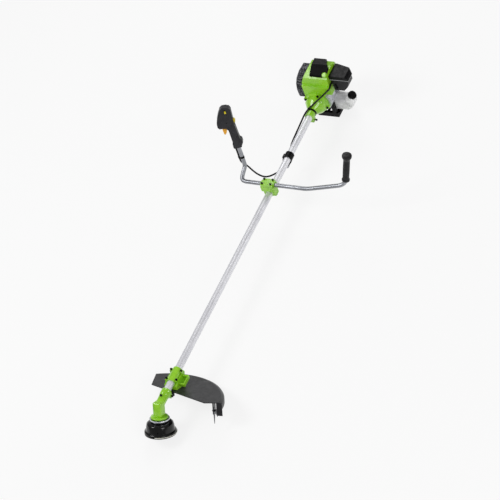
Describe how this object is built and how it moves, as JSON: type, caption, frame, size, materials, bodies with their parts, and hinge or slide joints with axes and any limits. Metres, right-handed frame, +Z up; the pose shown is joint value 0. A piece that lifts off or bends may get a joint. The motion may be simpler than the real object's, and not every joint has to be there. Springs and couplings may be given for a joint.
{
  "type": "string trimmer",
  "caption": "Petrol string trimmer with a straight shaft, cow-horn handlebar, guard, bump-feed line head and two-stroke engine.",
  "frame": {"origin": "middle of the bounding box on the floor that the trimmer lies on", "axes": "+X along the shaft from the trimmer head to the engine, +Y to the operator's right, +Z up"},
  "size_m": [1.8441, 0.5915, 0.4633],
  "materials": {
    "green_alloy": "gloss",
    "bearing_steel": "satin",
    "gear_steel": "satin",
    "zinc_plate": "polished",
    "black_nylon": "matte",
    "spool_nylon": "matte",
    "cutting_nylon": "gloss",
    "guard_plastic": "matte",
    "knife_steel": "satin",
    "screw_steel": "satin",
    "tube_aluminium": "anodised",
    "bush_bronze": "satin",
    "bar_aluminium": "satin",
    "grip_rubber": "matte",
    "grip_plastic": "matte",
    "orange_plastic": "gloss",
    "yellow_plastic": "gloss",
    "cable_sheath": "matte",
    "drum_iron": "machined",
    "friction_lining": "matte",
    "cast_aluminium": "cast",
    "shroud_plastic": "gloss",
    "cover_plastic": "matte",
    "base_plastic": "matte",
    "ceramic": "glazed ceramic",
    "muffler_steel": "matte",
    "lever_brass": "satin",
    "primer_rubber": "translucent",
    "filter_foam": "open foam",
    "tank_plastic": "translucent"
  },
  "bodies": {
    "frame": {"gearbox_housing": "green_alloy", "ball_bearings": "bearing_steel", "guard": "guard_plastic", "guard_bracket": "green_alloy", "line_knife": "knife_steel", "m5_screws": "screw_steel", "main_tube": "tube_aluminium", "shaft_bushes": "bush_bronze", "hanger_clamp": "cover_plastic", "clamp_base": "green_alloy", "clamp_cap": "green_alloy", "handlebar": "bar_aluminium", "plain_grip": "grip_rubber", "throttle_grip_left": "grip_plastic", "throttle_grip_right": "grip_plastic", "throttle_cable": "cable_sheath", "cable_clips": "cover_plastic", "clutch_housing": "green_alloy", "fan_case": "cast_aluminium", "crankcase": "cast_aluminium", "cylinder_block": "cast_aluminium", "spark_plug": "ceramic", "ignition_coil": "cover_plastic", "muffler": "muffler_steel", "muffler_cover": "cover_plastic", "carburettor": "cast_aluminium", "air_filter": "filter_foam", "filter_base": "base_plastic", "engine_shroud": "shroud_plastic", "top_cover": "cover_plastic", "fuel_tank": "tank_plastic", "engine_foot": "cover_plastic", "starter_housing": "cover_plastic"},
    "head": {"output_shaft": "gear_steel", "flange_plate": "zinc_plate", "head_housing": "black_nylon", "head_cover": "black_nylon", "cutting_line": "cutting_nylon"},
    "spool": {"line_spool": "spool_nylon", "bump_knob": "black_nylon"},
    "drive_line": {"bevel_pinion": "gear_steel", "drive_shaft": "gear_steel", "clutch_drum": "drum_iron"},
    "engine_rotor": {"clutch_shoes": "friction_lining", "flywheel": "cast_aluminium", "crankshaft": "gear_steel"},
    "piston_assembly": {"piston": "cast_aluminium", "connecting_rod": "gear_steel"},
    "trigger_body": {"trigger": "orange_plastic"},
    "lockout_body": {"lockout_lever": "yellow_plastic"},
    "switch_body": {"stop_switch": "yellow_plastic"},
    "throttle_lever_body": {"throttle_lever": "lever_brass"},
    "choke_body": {"choke_lever": "cover_plastic"},
    "primer_body": {"primer_bulb": "primer_rubber"},
    "knob_body": {"cover_knob": "shroud_plastic"},
    "cap_body": {"fuel_cap": "cover_plastic"},
    "filter_lid": {"filter_cover": "cover_plastic"},
    "pulley_body": {"starter_pulley": "spool_nylon"},
    "pull_handle": {"starter_handle": "cover_plastic"},
    "ring_body": {"hanger_ring": "bearing_steel"}
  },
  "joints": [
    {"name": "head_spin", "type": "hinge", "parent": "frame", "child": "head", "pos_m": [-0.85594, 0.09688, 0.05422], "axis": [0.5, 0, 0.866], "continuous": true},
    {"name": "bump_press", "type": "slide", "parent": "head", "child": "spool", "axis": [0.5, 0, 0.866], "range_m": [0, 0.005], "stiffness_N_per_m": 3000, "springref_m": -0.004},
    {"name": "drive_spin", "type": "hinge", "parent": "frame", "child": "drive_line", "pos_m": [-0.81594, 0.09688, 0.1235], "axis": [1, 0, 0], "continuous": true},
    {"name": "engine_spin", "type": "hinge", "parent": "frame", "child": "engine_rotor", "pos_m": [0.78406, 0.09688, 0.1235], "axis": [1, 0, 0], "continuous": true},
    {"name": "piston_stroke", "type": "slide", "parent": "frame", "child": "piston_assembly", "axis": [0, 0, 1], "range_m": [-0.034, 0]},
    {"name": "trigger_pull", "type": "hinge", "parent": "frame", "child": "trigger_body", "pos_m": [0.36724, 0.25433, 0.39387], "axis": [-0.8437, -0.4535, 0.2872], "range_deg": [0, 16], "stiffness_Nm_per_rad": 0.6, "springref_deg": -11.46},
    {"name": "throttle_lever_turn", "type": "hinge", "parent": "frame", "child": "throttle_lever_body", "pos_m": [0.83906, 0.03788, 0.2035], "axis": [0, 0, 1], "range_deg": [-60, 0]},
    {"name": "lockout_press", "type": "hinge", "parent": "frame", "child": "lockout_body", "pos_m": [0.37077, 0.23806, 0.37855], "axis": [-0.8437, -0.4535, 0.2872], "range_deg": [0, 7], "stiffness_Nm_per_rad": 0.4, "springref_deg": -11.46},
    {"name": "stop_switch_slide", "type": "slide", "parent": "frame", "child": "switch_body", "axis": [0.253, 0.136, 0.9579], "range_m": [0, 0.005]},
    {"name": "choke_turn", "type": "hinge", "parent": "frame", "child": "choke_body", "pos_m": [0.78806, 0.00088, 0.1895], "axis": [1, 0, 0], "range_deg": [0, 75]},
    {"name": "primer_press", "type": "slide", "parent": "frame", "child": "primer_body", "axis": [1, 0, 0], "range_m": [0, 0.003], "stiffness_N_per_m": 400, "springref_m": -0.001},
    {"name": "cover_knob_turn", "type": "hinge", "parent": "frame", "child": "knob_body", "pos_m": [0.78306, 0.03238, 0.2607], "axis": [-0.5822, 0, 0.8131], "range_deg": [0, 270]},
    {"name": "fuel_cap_turn", "type": "hinge", "parent": "frame", "child": "cap_body", "pos_m": [0.84306, -0.00912, 0.0815], "axis": [0, -0.7071, 0.7071], "range_deg": [0, 300]},
    {"name": "filter_cover_lift", "type": "slide", "parent": "frame", "child": "filter_lid", "axis": [0, 0, 1], "range_m": [0, 0.06]},
    {"name": "starter_pull", "type": "slide", "parent": "frame", "child": "pull_handle", "axis": [0, 0, 1], "range_m": [0, 0.09], "stiffness_N_per_m": 60, "springref_m": -0.05},
    {"name": "starter_pulley_turn", "type": "hinge", "parent": "frame", "child": "pulley_body", "pos_m": [0.88906, 0.09688, 0.1235], "axis": [1, 0, 0], "range_deg": [0, 160]},
    {"name": "ring_swing", "type": "hinge", "parent": "frame", "child": "ring_body", "pos_m": [0.45106, 0.11888, 0.0925], "axis": [0, 1, 0], "range_deg": [-60, 60]}
  ],
  "couplings": [
    {"joint": "drive_spin", "follows": "head_spin", "ratio": 1.3333},
    {"joint": "throttle_lever_turn", "follows": "trigger_pull", "ratio": -3.75},
    {"joint": "starter_pulley_turn", "follows": "starter_pull", "rad_per_m": 30.303}
  ]
}
